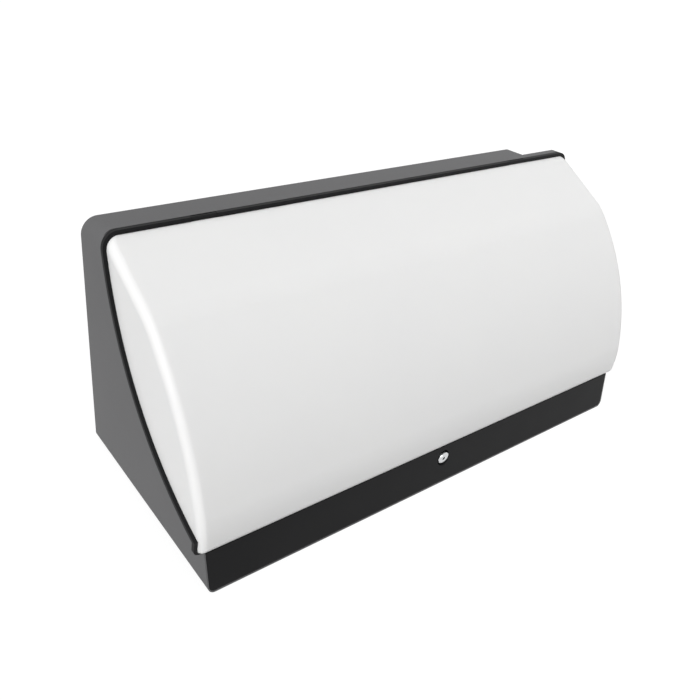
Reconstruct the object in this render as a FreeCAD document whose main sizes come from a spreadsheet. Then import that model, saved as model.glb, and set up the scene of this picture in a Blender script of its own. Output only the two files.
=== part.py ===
"""Wedge-shaped wall pack light: die-cast housing with a flared mouth, and a hinged cover
that carries the opal diffuser, the black rim and the front skirt with its captive screw.

Frame: X along the width, -Y out of the wall towards the viewer, +Z up, millimetres.
Heights are drawn from the underside of the base and every sub-part is then lowered by
fixing_height, so that the origin is the middle of the four wall fixings, on the wall plane.
"""
import FreeCAD, Part
import math
import os
import Sketcher
from FreeCAD import Rotation, Vector

DIMENSIONS = {
    # housing shell
    "body_width": 330.0,
    "body_height": 140.2,
    "body_depth": 135.0,
    "top_corner_radius": 9.0,
    "base_corner_radius": 4.0,
    "side_wall": 3.5,
    "back_wall": 4.0,
    "floor_plate": 3.0,
    # mouth: an arc seen from the side, then an upright stretch above the skirt
    "mouth_radius": 142.7,
    "mouth_foot_height": 33.3,
    "mouth_top_depth": 37.3,
    "mouth_front_setback": 7.5,
    "skirt_height": 23.7,
    "skirt_lean_back": 6.5,
    # flared lip round the mouth
    "lip_overhang": 5.2,
    "lip_top_overhang": 7.6,
    "lip_corner_radius": 8.5,
    "lip_thickness": 5.0,
    "lip_cove_radius": 4.5,
    "lip_lower_radius": 3.5,
    # seal channel
    "seal_thickness": 3.9,
    "seal_width": 6.0,
    "seal_ledge_thickness": 3.0,
    "sill_wall": 3.5,
    # cover rim
    "rim_thickness": 2.1,
    "rim_width": 2.0,
    "rim_flange_width": 10.0,
    "rim_flange_thickness": 1.2,
    "bead_radius": 1.15,
    "bead_relief": 0.8,
    # cover skirt plate and its screw cup
    "skirt_plate": 3.0,
    "skirt_edge_lip": 0.8,
    "cover_gap": 0.25,
    "screw_height": 16.0,
    "cup_radius": 6.5,
    "cup_end_wall": 2.6,
    "counterbore_radius": 4.9,
    # diffuser
    "lens_wall": 3.0,
    "lens_front_radius": 175.3,
    "lens_brow_run": 43.9,
    "lens_chin_start_height": 45.0,
    "lens_chin_start_overhang": 0.25,
    "lens_chin_radius": 60.0,
    "lens_low_gap": 0.6,
    "lens_brow_inset": 0.3,
    "lens_brow_slope": 28.5,
    "lens_brow_radius": 40.0,
    "lens_edge_radius": 4.2,
    "lens_seal_thickness": 0.5,
    # hinge
    "knuckle_from_end": 53.5,
    "knuckle_width": 14.0,
    "knuckle_tab_length": 3.6,
    "knuckle_tab_thickness": 1.6,
    "knuckle_gap": 0.15,
    "pin_radius": 0.5,
    "pin_length": 28.0,
    "running_clearance": 0.05,
    # captive cover screw, M4 pan head
    "screw_radius": 2.0,
    "screw_head_radius": 4.0,
    "screw_head_height": 2.2,
    "screw_socket_radius": 1.2,
    "screw_socket_depth": 1.5,
    "screw_seat_gap": 0.1,
    "screw_travel": 2.8,
    "screw_tip_clearance": 0.4,
    "washer_thickness": 0.8,
    "screw_seal_thickness": 1.0,
    "screw_seal_radius": 3.4,
    "insert_radius": 3.4,
    "insert_length": 8.0,
    # wall fixings and cable entry
    "fixing_height": 70.0,
    "fixing_spacing_x": 210.0,
    "fixing_spacing_z": 80.0,
    "fixing_hole_radius": 2.75,
    "fixing_boss_radius": 7.0,
    "fixing_boss_height": 3.0,
    "entry_hole_radius": 10.0,
    "entry_bore_radius": 4.5,
    # gear tray with three light boards
    "tray_side_gap": 11.5,
    "tray_bottom": 30.0,
    "tray_height": 88.0,
    "tray_sheet": 1.5,
    "tray_return": 9.0,
    "tray_standoff": 30.0,
    "tray_post_radius": 4.5,
    "tray_post_side_inset": 12.0,
    "tray_post_inset": 8.0,
    "board_length": 260.0,
    "board_height": 14.0,
    "board_thickness": 1.6,
    "board_pitch": 24.0,
    "board_first_height": 52.0,
    "plug_width": 9.0,
    "plug_depth": 4.0,
    "plug_height": 8.0,
    "plug_inset": 3.0,
    "led_size": 3.5,
    "led_height": 0.8,
    "led_count": 13.0,
    "led_pitch": 17.5,
    # driver on the floor
    "driver_length": 128.0,
    "driver_width": 36.0,
    "driver_height": 22.0,
    "driver_sheet": 1.2,
    "driver_foot": 12.0,
    "driver_foot_height": 2.5,
    "driver_cap": 2.0,
    "driver_centre_x": -20.0,
    "driver_front_gap": 34.0,
    # terminal block on the floor
    "terminal_pitch": 10.0,
    "terminal_depth": 20.0,
    "terminal_body_height": 15.0,
    "terminal_centre_x": 92.0,
    "terminal_clamp_height": 5.5,
    "terminal_clamp_radius": 3.0,
    "terminal_bore_radius": 1.0,
    "terminal_screw_radius": 1.5,
    "terminal_wall": 2.0,
    "terminal_ear": 8.0,
    "terminal_ear_height": 3.0,
    "floor_pad_radius": 4.5,
    "floor_pad_height": 4.0,
    # earth point
    "earth_x": 128.0,
    "earth_post_radius": 4.5,
    "earth_post_height": 5.0,
    "earth_tag_thickness": 0.8,
    "earth_screw_length": 6.0,
    # small screws, M3 pan head
    "small_screw_radius": 1.5,
    "small_head_radius": 2.8,
    "small_head_height": 2.0,
    "small_screw_length": 7.0,
    # insulated wire
    "wire_radius": 1.2,
}

FRONT = "-dims.body_depth"
LIP_TOP = "dims.body_height + dims.lip_top_overhang"
LIP_HALF = "dims.body_width / 2 + dims.lip_overhang"
INNER_HALF = "dims.body_width / 2 - dims.side_wall"
MOUTH_FRONT = "dims.body_depth - dims.mouth_front_setback"

# The mouth's arc runs from its foot, at the top of the upright stretch, to the lip's top edge,
# and its centre lies in front of the middle of that chord.
CHORD_Y = f"({MOUTH_FRONT} - dims.mouth_top_depth)"
CHORD_Z = f"({LIP_TOP} - dims.mouth_foot_height)"
CHORD = f"sqrt({CHORD_Y} ^ 2 + {CHORD_Z} ^ 2)"
RISE = f"sqrt(dims.mouth_radius ^ 2 - ({CHORD_Y} ^ 2 + {CHORD_Z} ^ 2) / 4)"
MOUTH_Y = f"-(({MOUTH_FRONT} + dims.mouth_top_depth) / 2 + {RISE} * {CHORD_Z} / {CHORD})"
MOUTH_Z = f"(({LIP_TOP} + dims.mouth_foot_height) / 2 + {RISE} * {CHORD_Y} / {CHORD})"
HINGE_Z = f"{LIP_TOP} - dims.bead_radius"
RIM_MID = "dims.mouth_radius + dims.rim_thickness / 2"
HINGE_Y = f"{MOUTH_Y} + sqrt(({RIM_MID}) ^ 2 - ({MOUTH_Z} - ({HINGE_Z})) ^ 2)"
KNUCKLE_X = f"({LIP_HALF} - dims.knuckle_from_end)"

os.makedirs("parts", exist_ok=True)
doc = FreeCAD.newDocument("WallPack")
sheet = doc.addObject("Spreadsheet::Sheet", "dims")
for row, (alias, value) in enumerate(DIMENSIONS.items(), start=1):
    sheet.set(f"A{row}", alias)
    sheet.set(f"B{row}", str(value))
    sheet.setAlias(f"B{row}", alias)
doc.recompute()

sub_parts = []


def size(alias):
    """The plain value of one driving dimension."""
    return float(sheet.get(alias))


def bind(item, **expressions):
    """Bind properties of an object; a double underscore stands for a dot."""
    for name, expression in expressions.items():
        item.setExpression(name.replace("__", "."), str(expression))


def place(item, x=None, y=None, z=None):
    """Bind the base point of an object's placement."""
    for axis, expression in (("x", x), ("y", y), ("z", z)):
        if expression is not None:
            item.setExpression(f"Placement.Base.{axis}", str(expression))


def block(name, x, y, z, length, width, height):
    """A rectangular block from its low corner and its three sizes."""
    item = doc.addObject("Part::Box", name)
    bind(item, Length=length, Width=width, Height=height)
    place(item, x, y, z)
    return item


def rod(name, axis, x, y, z, radius, length):
    """A round rod whose low end is at x, y, z and that runs along +X, +Y or +Z."""
    item = doc.addObject("Part::Cylinder", name)
    target = {"x": Vector(1, 0, 0), "y": Vector(0, 1, 0), "z": Vector(0, 0, 1)}[axis]
    item.Placement.Rotation = Rotation(Vector(0, 0, 1), target)
    bind(item, Radius=radius, Height=length)
    place(item, x, y, z)
    return item


def fuse(name, *items):
    item = doc.addObject("Part::MultiFuse", name)
    item.Shapes = list(items)
    item.Refine = True
    return item


def common(name, *items):
    item = doc.addObject("Part::MultiCommon", name)
    item.Shapes = list(items)
    return item


def cut(name, base, *tools):
    item = doc.addObject("Part::Cut", name)
    item.Base = base
    item.Tool = tools[0] if len(tools) == 1 else fuse(name + "_tools", *tools)
    item.Refine = True
    return item


def sub_part(item, label, x=None, y=None, z="0"):
    """Register one finished piece under the name of its file, at its place."""
    item.Label = label
    place(item, x, y, f"({z}) - dims.fixing_height")
    sub_parts.append(item)
    return item


def fix_point(sketch, geometry, position, x=None, y=None):
    """Tie one sketch point to the sketch origin with bound distances."""
    for kind, expression, value in (("DistanceX", x, 0), ("DistanceY", y, 1)):
        if expression is None:
            continue
        point = sketch.getPoint(geometry, position)
        index = sketch.addConstraint(
            Sketcher.Constraint(kind, geometry, position, point[value]))
        sketch.setExpression(f"Constraints[{index}]", str(expression))


def number(expression):
    """Evaluate an expression on the sheet, for the first guess of a sketch."""
    return float(sheet.evalExpression(str(expression)))


def join_in_turn(sketch, kind, order):
    """Join the end of each sketch element to the start of the next one."""
    for first, second in zip(order, order[1:] + order[:1]):
        sketch.addConstraint(Sketcher.Constraint(kind, first, 2, second, 1))


def rounded_outline(sketch, half, low, high, top_radius, low_radius):
    """A closed rectangle, symmetric about the sketch's upright axis, with round corners."""
    w, z0, z1, rt, rb = (number(e) for e in (half, low, high, top_radius, low_radius))
    lines = [((-w + rb, z0), (w - rb, z0)), ((w, z0 + rb), (w, z1 - rt)),
             ((w - rt, z1), (-w + rt, z1)), ((-w, z1 - rt), (-w, z0 + rb))]
    for start, end in lines:
        sketch.addGeometry(Part.LineSegment(Vector(*start), Vector(*end)))
    quarter = FreeCAD.Units.Quantity("90 deg").getValueAs("rad").Value
    corners = [(w - rb, z0 + rb, rb, 3), (w - rt, z1 - rt, rt, 0),
               (-w + rt, z1 - rt, rt, 1), (-w + rb, z0 + rb, rb, 2)]
    for x, z, radius, turn in corners:
        circle = Part.Circle(Vector(x, z), Vector(0, 0, 1), radius)
        sketch.addGeometry(Part.ArcOfCircle(circle, turn * quarter, (turn + 1) * quarter))
    join_in_turn(sketch, "Tangent", [0, 4, 1, 5, 2, 6, 3, 7])
    for line, direction in ((0, "Horizontal"), (2, "Horizontal"), (1, "Vertical"), (3, "Vertical")):
        sketch.addConstraint(Sketcher.Constraint(direction, line))
    for arc, twin, radius, value in ((4, 7, low_radius, rb), (5, 6, top_radius, rt)):
        sketch.addConstraint(Sketcher.Constraint("Equal", arc, twin))
        index = sketch.addConstraint(Sketcher.Constraint("Radius", arc, value))
        sketch.setExpression(f"Constraints[{index}]", str(radius))
    fix_point(sketch, 1, 1, x=half)
    fix_point(sketch, 3, 1, x=f"-({half})")
    fix_point(sketch, 0, 1, y=low)
    fix_point(sketch, 2, 1, y=high)


def polygon_outline(sketch, points):
    """A closed outline of straight lines through points given as pairs of expressions."""
    guess = [Vector(number(x), number(y)) for x, y in points]
    lines = [sketch.addGeometry(Part.LineSegment(start, end))
             for start, end in zip(guess, guess[1:] + guess[:1])]
    join_in_turn(sketch, "Coincident", lines)
    for line, (x, y) in zip(lines, points):
        fix_point(sketch, line, 1, x, y)


def front_sketch(name):
    """A sketch seen from the front: its x is X and its y is Z."""
    sketch = doc.addObject("Sketcher::SketchObject", name + "_sketch")
    sketch.Placement.Rotation = Rotation(Vector(1, 0, 0), 90)
    return sketch


def side_sketch(name):
    """A sketch seen from the +X side: its x is Y and its y is Z."""
    sketch = doc.addObject("Sketcher::SketchObject", name + "_sketch")
    sketch.Placement.Rotation = Rotation(Vector(0, 1, 0), Vector(0, 0, 1), Vector(1, 0, 0), "ZXY")
    return sketch


def extrude(name, sketch, forward, backward="0"):
    """Extrude a standing sketch along its normal by a bound length each way."""
    item = doc.addObject("Part::Extrusion", name)
    item.Base = sketch
    item.DirMode = "Normal"
    item.Solid = True
    bind(item, LengthFwd=forward, LengthRev=backward)
    return item


def rounded_prism(name, half, low, high, top_radius, low_radius, front=FRONT, back="0"):
    """A prism along Y with a rounded outline, from the depth `front` to `back`."""
    sketch = front_sketch(name)
    rounded_outline(sketch, half, low, high, top_radius, low_radius)
    return extrude(name, sketch, f"-({front})", back)


def before_mouth(name, offset, low="dims.skirt_height"):
    """The space in front of the mouth surface moved back into the housing by `offset`."""
    reach = f"{LIP_HALF} + 20"
    arc = rod(name + "_arc", "x", f"-({reach})", MOUTH_Y, MOUTH_Z,
              f"dims.mouth_radius + {offset}", f"2 * ({reach})")
    upright = block(name + "_upright", f"-({reach})", f"{FRONT} - 60", low, f"2 * ({reach})",
                    f"60 + dims.mouth_front_setback + {offset}", "dims.body_height")
    return fuse(name, arc, upright)


def mouth_band(name, shallow, deep):
    """The layer between two offsets of the mouth surface."""
    return cut(name, before_mouth(name + "_deep", deep), before_mouth(name + "_shallow", shallow))


def ring(name, outer, inner, front=FRONT):
    """A rounded ring prism from two outlines (half, low, high, top radius, low radius)."""
    return cut(name, rounded_prism(name + "_outer", *outer, front=front),
               rounded_prism(name + "_inner", *inner, front=front))


# ---------------------------------------------------------------- shared layers of the mouth

LIP_DEEP = "dims.rim_thickness + dims.lip_thickness"
SEAL_DEEP = "dims.rim_thickness + dims.seal_thickness"
LEDGE_DEEP = f"{SEAL_DEEP} + dims.seal_ledge_thickness"
LIP_RADIUS = "dims.lip_corner_radius"
RIM_IN_HALF = f"{LIP_HALF} - dims.rim_width"
RIM_IN_TOP = f"{LIP_TOP} - dims.rim_width"
RIM_IN_LOW = "dims.skirt_height + dims.rim_width"
RIM_IN_RADIUS = f"{LIP_RADIUS} - dims.rim_width"
SEAL_IN_HALF = f"{INNER_HALF} - dims.seal_width"
LEAN = "atan(dims.skirt_lean_back / dims.skirt_height)"

LIP_OUTLINE = (LIP_HALF, "dims.skirt_height", LIP_TOP, LIP_RADIUS, "dims.lip_lower_radius")
RIM_OPENING = (RIM_IN_HALF, RIM_IN_LOW, RIM_IN_TOP, RIM_IN_RADIUS, "dims.rim_width")
ROOM = (INNER_HALF, "dims.floor_plate", "dims.body_height - dims.side_wall",
        "dims.top_corner_radius - dims.side_wall", "dims.side_wall / 3")


def leaning_slab(name, setback, thickness, half, low, high):
    """A slab parallel to the leaning skirt face, `setback` behind it, between two heights."""
    slab = doc.addObject("Part::Box", name + "_slab")
    slab.Placement.Rotation = Rotation(Vector(-1, 0, 0), 10)
    bind(slab, Length=f"2 * ({half})", Width=thickness, Height="4 * dims.skirt_height",
         Placement__Rotation__Angle=LEAN)
    place(slab, f"-({half})", f"{FRONT} + ({setback}) / cos({LEAN}) - dims.skirt_lean_back",
          "-dims.skirt_height")
    limit = block(name + "_limit", f"-({half})", f"{FRONT} - 60", low, f"2 * ({half})",
                  "dims.body_depth + 60", f"({high}) - ({low})")
    return common(name, slab, limit)


def fixing_positions():
    """The four wall fixings, as pairs of expressions for x and z."""
    middle = "dims.fixing_height"
    return [(f"{sx} * dims.fixing_spacing_x / 2", f"{middle} + {sz} * dims.fixing_spacing_z / 2")
            for sx in (-1, 1) for sz in (-1, 1)]


TRAY_FACE = "dims.back_wall + dims.tray_standoff"
TRAY_TOP = "dims.tray_bottom + dims.tray_height"
TRAY_HALF = f"({INNER_HALF} - dims.tray_side_gap)"


def tray_post_positions():
    """The four posts that carry the gear tray."""
    low = "dims.tray_bottom + dims.tray_post_inset"
    high = f"{TRAY_TOP} - dims.tray_post_inset"
    return [(f"{sx} * ({TRAY_HALF} - dims.tray_post_side_inset)", z)
            for sx in (-1, 1) for z in (low, high)]


def numbered_edges(item, is_first, is_second):
    """Numbers of the edges where a face of the first kind meets one of the second kind."""
    found = []
    for number_of_edge, edge in enumerate(item.Shape.Edges, start=1):
        faces = item.Shape.ancestorsOfType(edge, Part.Face)
        if len(faces) != 2:
            continue
        first, second = faces
        if (is_first(first) and is_second(second)) or (is_first(second) and is_second(first)):
            found.append(number_of_edge)
    return found


def is_flat(face, direction):
    """Whether a face is flat and square to the direction, facing either way."""
    surface = face.Surface
    return isinstance(surface, Part.Plane) and abs(surface.Axis.dot(direction)) > 0.999


def is_round(face, direction, radius=None):
    """Whether a face is a cylinder about the direction, with the radius if one is given."""
    surface = face.Surface
    if not isinstance(surface, Part.Cylinder) or abs(surface.Axis.dot(direction)) < 0.999:
        return False
    return radius is None or abs(surface.Radius - radius) < 0.01


ALONG_X, ALONG_Y, ALONG_Z = Vector(1, 0, 0), Vector(0, 1, 0), Vector(0, 0, 1)


def fillet(name, base, edges, radius):
    """Round the numbered edges of an object."""
    item = doc.addObject("Part::Fillet", name)
    item.Base = base
    item.Edges = [(edge, radius, radius) for edge in edges]
    return item


SILL_FACE = f"{MOUTH_FRONT} - ({SEAL_DEEP})"


# ---------------------------------------------------------------- places on the floor

DRIVER_BACK = f"{SILL_FACE} - dims.sill_wall - dims.driver_front_gap - dims.driver_width"
DRIVER_MID = f"{DRIVER_BACK} + dims.driver_width / 2"
DRIVER_HALF = "dims.driver_length / 2"
TERMINAL_HALF = "1.5 * dims.terminal_pitch + dims.terminal_wall"
EAR_X = f"({TERMINAL_HALF}) + dims.terminal_ear / 2"


def floor_screw_positions():
    """Where the driver's two feet and the terminal block's two ears are screwed down."""
    foot = f"{DRIVER_HALF} + dims.driver_foot / 2 + dims.driver_cap"
    return ([(f"dims.driver_centre_x {sign} ({foot})", f"-({DRIVER_MID})") for sign in "-+"],
            [(f"dims.terminal_centre_x {sign} ({EAR_X})", f"-({DRIVER_MID})") for sign in "-+"])


def floor_pilots():
    """Screw pilots in the floor pads."""
    holes = []
    for group in floor_screw_positions():
        for x, y in group:
            holes.append(rod(f"floor_pilot_{len(holes)}", "z", x, y, "dims.floor_plate / 2",
                             "dims.small_screw_radius",
                             "dims.floor_pad_height + dims.floor_plate"))
    holes.append(rod("earth_pilot", "z", "dims.earth_x", f"-({DRIVER_MID})", "dims.floor_plate",
                     "dims.screw_radius", "dims.earth_post_height + 1"))
    return holes


def floor_pads():
    """Raised pads that the driver, the terminal block and the earth screw stand on."""
    pads = []
    for group in floor_screw_positions():
        for x, y in group:
            pads.append(rod(f"floor_pad_{len(pads)}", "z", x, y, "dims.floor_plate / 2",
                            "dims.floor_pad_radius", "dims.floor_pad_height + dims.floor_plate / 2"))
    pads.append(rod("earth_post", "z", "dims.earth_x", f"-({DRIVER_MID})", "dims.floor_plate / 2",
                    "dims.earth_post_radius", "dims.earth_post_height + dims.floor_plate / 2"))
    return pads


# ---------------------------------------------------------------- housing


def flared_shell():
    """The cast shell with its mouth, and the lip that flares out of it in a cove.

    The cove is rounded on a longer body, whose mouth arc runs clear of the skirt, and the
    result is trimmed to the real front afterwards.
    """
    longer = f"{FRONT} - 40"
    outer = rounded_prism("long_shell", "dims.body_width / 2", "0", "dims.body_height",
                          "dims.top_corner_radius", "dims.base_corner_radius", longer)
    long_outline = (LIP_HALF, "-10", LIP_TOP, LIP_RADIUS, "1")
    lip_core = ("dims.body_width / 2 - dims.side_wall / 2", "-5",
                "dims.body_height - dims.side_wall / 2", "dims.top_corner_radius", "1")
    arcs = {}
    for name, offset in (("face", "dims.rim_thickness"), ("back", LIP_DEEP)):
        reach = f"{LIP_HALF} + 20"
        arcs[name] = rod(f"lip_{name}_arc", "x", f"-({reach})", MOUTH_Y, MOUTH_Z,
                         f"dims.mouth_radius + {offset}", f"2 * ({reach})")
    lip = common("lip", ring("lip_ring", long_outline, lip_core, longer),
                 cut("lip_band", arcs["back"], arcs["face"]))
    body = fuse("shell_with_lip", cut("shell_cut", outer, arcs["face"]), lip)
    doc.recompute()
    back_of_lip = size("mouth_radius") + size("rim_thickness") + size("lip_thickness")
    half, top = size("body_width") / 2, size("body_height")
    edges = numbered_edges(
        body, lambda face: is_round(face, ALONG_X, back_of_lip),
        lambda face: is_round(face, ALONG_Y, size("top_corner_radius"))
        or (is_flat(face, ALONG_X) and abs(abs(face.Surface.Position.x) - half) < 0.01)
        or (is_flat(face, ALONG_Z) and abs(face.Surface.Position.z - top) < 0.01))
    flared = fillet("coved_shell", body, edges, size("lip_cove_radius"))
    plain = rounded_prism("shell", "dims.body_width / 2", "0", "dims.body_height",
                          "dims.top_corner_radius", "dims.base_corner_radius")
    lip_limit = rounded_prism("lip_limit", *LIP_OUTLINE)
    trimmed = common("trimmed_shell", flared, fuse("shell_limit", plain, lip_limit))
    return cut("flared_shell", trimmed, before_mouth("shell_mouth", "dims.rim_thickness"))


def seal_ledge():
    """The step inside the mouth that the seal lies on."""
    outline = ("dims.body_width / 2 - dims.side_wall / 2", "dims.skirt_height",
               "dims.body_height - dims.side_wall / 2", "dims.top_corner_radius",
               "dims.side_wall")
    opening = (f"{SEAL_IN_HALF} - 1", RIM_IN_LOW,
               "dims.body_height - dims.side_wall - dims.seal_width - 1",
               "dims.top_corner_radius - dims.side_wall", "dims.side_wall")
    return common("seal_ledge", ring("ledge_ring", outline, opening),
                  mouth_band("ledge_band", SEAL_DEEP, LEDGE_DEEP))


def wall_bosses():
    """Raised pads round the wall fixings, and the posts of the gear tray."""
    bosses = []
    for index, (x, z) in enumerate(fixing_positions()):
        bosses.append(rod(f"fixing_boss_{index}", "y", x,
                          "-dims.back_wall - dims.fixing_boss_height", z,
                          "dims.fixing_boss_radius", "dims.fixing_boss_height + 1"))
    for index, (x, z) in enumerate(tray_post_positions()):
        bosses.append(rod(f"tray_post_{index}", "y", x, f"-({TRAY_FACE})", z,
                          "dims.tray_post_radius", "dims.tray_standoff + 1"))
    return bosses


def housing_holes():
    """Wall fixings, cable entry, insert seat, hinge relief and the screw pilots."""
    holes = []
    for index, (x, z) in enumerate(fixing_positions()):
        holes.append(rod(f"fixing_hole_{index}", "y", x, "-dims.back_wall - 10", z,
                         "dims.fixing_hole_radius", "dims.back_wall + 20"))
    for index, (x, z) in enumerate(tray_post_positions()):
        holes.append(rod(f"tray_pilot_{index}", "y", x, f"-({TRAY_FACE}) - 1", z,
                         "dims.small_screw_radius", "dims.small_screw_length + 1"))
    holes.append(rod("entry_hole", "y", "0", "-dims.back_wall - 5", "dims.fixing_height",
                     "dims.entry_hole_radius", "dims.back_wall + 10"))
    holes.append(rod("insert_seat", "y", "0", f"-({SILL_FACE}) - 1", "dims.screw_height",
                     "dims.insert_radius", "dims.insert_length + 1"))
    reach = f"{LIP_HALF} + 1"
    holes.append(rod("hinge_relief", "x", f"-({reach})", HINGE_Y, HINGE_Z,
                     "dims.bead_radius + dims.bead_relief", f"2 * ({reach})"))
    for side in (-1, 1):
        holes.append(knuckle_tab(f"knuckle_pocket_{'left' if side < 0 else 'right'}", side))
    return holes


def knuckle_tab(name, side):
    """The flat tongue that seats a hinge knuckle in the lip."""
    return block(name, f"{side} * {KNUCKLE_X} - dims.knuckle_width / 2", HINGE_Y,
                 f"{HINGE_Z} - dims.knuckle_tab_thickness / 2", "dims.knuckle_width",
                 "dims.knuckle_tab_length", "dims.knuckle_tab_thickness")


def make_housing():
    hollow = rounded_prism("room", *ROOM, front=f"{FRONT} - 5", back="-dims.back_wall")
    sill_wall = block("sill_wall", f"-({INNER_HALF}) - 1", f"-({SILL_FACE})",
                      "dims.floor_plate / 2", f"2 * ({INNER_HALF}) + 2", "dims.sill_wall",
                      f"{RIM_IN_LOW} - dims.floor_plate / 2")
    sill = cut("sill", sill_wall, before_mouth("sill_mouth", SEAL_DEEP))
    insert_boss = rod("insert_boss", "y", "0", f"-({SILL_FACE})", "dims.screw_height",
                      "dims.insert_radius + 3", "dims.insert_length + 1.5")
    body = fuse("housing_body", cut("open_shell", flared_shell(), hollow), seal_ledge(),
                sill, insert_boss, *wall_bosses(), *floor_pads())
    skirt_cut = leaning_slab("skirt_cut", "-50", "50", f"{LIP_HALF} + 5", "-1",
                             "dims.skirt_height + 1")
    edge = "dims.skirt_edge_lip"
    plate_seat = rounded_prism("plate_seat", f"dims.body_width / 2 - {edge}", edge,
                               "2 * dims.skirt_height", "dims.base_corner_radius",
                               f"dims.base_corner_radius - {edge}", front=f"{FRONT} - 10")
    plate_cut = common("plate_cut", plate_seat,
                       leaning_slab("plate_room", "-10", "dims.skirt_plate + 10", LIP_HALF,
                                    edge, "dims.skirt_height + 1"))
    return sub_part(cut("housing_cast", body, skirt_cut, plate_cut, *housing_holes(),
                        *floor_pilots()), "housing")


# ---------------------------------------------------------------- round and flat small parts


def origin_plane(body, role):
    """One of a body's own origin planes or axes."""
    return [item for item in body.Origin.OriginFeatures if item.Role == role][0]


def body_sketch(body, role, name):
    """A sketch on one of a body's own origin planes."""
    sketch = body.newObject("Sketcher::SketchObject", name)
    sketch.AttachmentSupport = [(origin_plane(body, role), "")]
    sketch.MapMode = "FlatFace"
    return sketch


def turned(name, points):
    """A body turned about Y from an outline of (radius, y) points."""
    body = doc.addObject("PartDesign::Body", name + "_body")
    outline = body_sketch(body, "XY_Plane", name + "_outline")
    polygon_outline(outline, points)
    turn = body.newObject("PartDesign::Revolution", name + "_turn")
    turn.Profile = outline
    turn.ReferenceAxis = (outline, ["V_Axis"])
    turn.Angle = 360
    body.Tip = turn
    return body


def sink_socket(body, name, radius, depth, low_end):
    """Sink a hexagonal recess into the low end, along Y, of a turned body."""
    sketch = body_sketch(body, "XZ_Plane", name + "_socket_outline")
    bind(sketch, AttachmentOffset__Base__z=f"-({low_end})")
    polygon_outline(sketch, [(f"({radius}) * cos({turn})", f"({radius}) * sin({turn})")
                             for turn in range(0, 360, 60)])
    pocket = body.newObject("PartDesign::Pocket", name + "_socket")
    pocket.Profile = sketch
    bind(pocket, Length=depth)
    body.Tip = pocket


def padded(name, role, outlines, length, symmetric=True):
    """A body padded from closed outlines of straight lines on one of its origin planes."""
    body = doc.addObject("PartDesign::Body", name + "_body")
    sketch = body_sketch(body, role, name + "_outline")
    for points in outlines:
        polygon_outline(sketch, points)
    pad = body.newObject("PartDesign::Pad", name + "_pad")
    pad.Profile = sketch
    pad.SideType = "Symmetric" if symmetric else "One side"
    bind(pad, Length=length)
    body.Tip = pad
    return body


def rectangle(x, y, width, height):
    """The corners of a rectangle from its low corner and its sizes."""
    right, high = f"({x}) + ({width})", f"({y}) + ({height})"
    return [(x, y), (right, y), (right, high), (x, high)]


def pan_screw(name, x, y, z, axis):
    """One small pan-head screw; x, y, z is where its head seats and it points along +axis."""
    step = {"y": (0, 1, 0), "z": (0, 0, 1)}[axis[-1]]
    sign = -1 if axis.startswith("-") else 1
    low_head = [f"({e}) - {d} * ({'dims.small_head_height' if sign > 0 else '0'})"
                for e, d in zip((x, y, z), step)]
    low_shank = [f"({e}) - {d} * ({'0' if sign > 0 else 'dims.small_screw_length'})"
                 for e, d in zip((x, y, z), step)]
    head = rod(name + "_head", axis[-1], *low_head, "dims.small_head_radius",
               "dims.small_head_height")
    shank = rod(name + "_shank", axis[-1], *low_shank, "dims.small_screw_radius",
                "dims.small_screw_length")
    outer_end = [f"({e}) - {d * sign} * dims.small_head_height" for e, d in zip((x, y, z), step)]
    slots = []
    for turn in (0, 1):
        across, along = ("dims.small_head_radius * 1.2", "dims.small_head_radius / 4")
        sizes = [across, along] if turn else [along, across]
        spans = iter(sizes)
        extents = ["dims.small_head_height" if d else next(spans) for d in step]
        corner = [f"({e}) - ({s}) / 2" for e, s in zip(outer_end, extents)]
        slots.append(block(f"{name}_slot_{turn}", *corner, *extents))
    return cut(name, fuse(name + "_blank", head, shank), *slots)


def together(name, items):
    """Several like solids kept as one node."""
    item = doc.addObject("Part::Compound", name)
    item.Links = list(items)
    return item


# ---------------------------------------------------------------- seal, insert and entry


def make_mouth_seal():
    outline = (INNER_HALF, "dims.skirt_height", "dims.body_height - dims.side_wall",
               "dims.top_corner_radius - dims.side_wall", "dims.side_wall")
    opening = (SEAL_IN_HALF, RIM_IN_LOW, "dims.body_height - dims.side_wall - dims.seal_width",
               "dims.top_corner_radius - dims.side_wall", "dims.side_wall / 2")
    sub_part(common("mouth_seal", ring("seal_ring", outline, opening),
                    mouth_band("seal_band", "dims.rim_thickness", SEAL_DEEP)), "mouth_seal")


def make_screw_insert():
    bore = "dims.screw_radius + dims.running_clearance"
    points = [(bore, "0"), ("dims.insert_radius", "0"), ("dims.insert_radius", "dims.insert_length"),
              (bore, "dims.insert_length")]
    sub_part(turned("screw_insert", points), "screw_insert",
             y=f"-({SILL_FACE})", z="dims.screw_height")


def make_cable_grommet():
    flange = "dims.entry_hole_radius + 3"
    points = [("dims.entry_bore_radius", "-dims.back_wall - 2.5"), (flange, "-dims.back_wall - 2.5"),
              (flange, "-dims.back_wall"), ("dims.entry_hole_radius", "-dims.back_wall"),
              ("dims.entry_hole_radius", "0"), ("dims.entry_bore_radius + 2", "0"),
              ("dims.entry_bore_radius", "-2")]
    sub_part(turned("cable_grommet", points), "cable_grommet", z="dims.fixing_height")


# ---------------------------------------------------------------- gear tray and light boards


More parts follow.
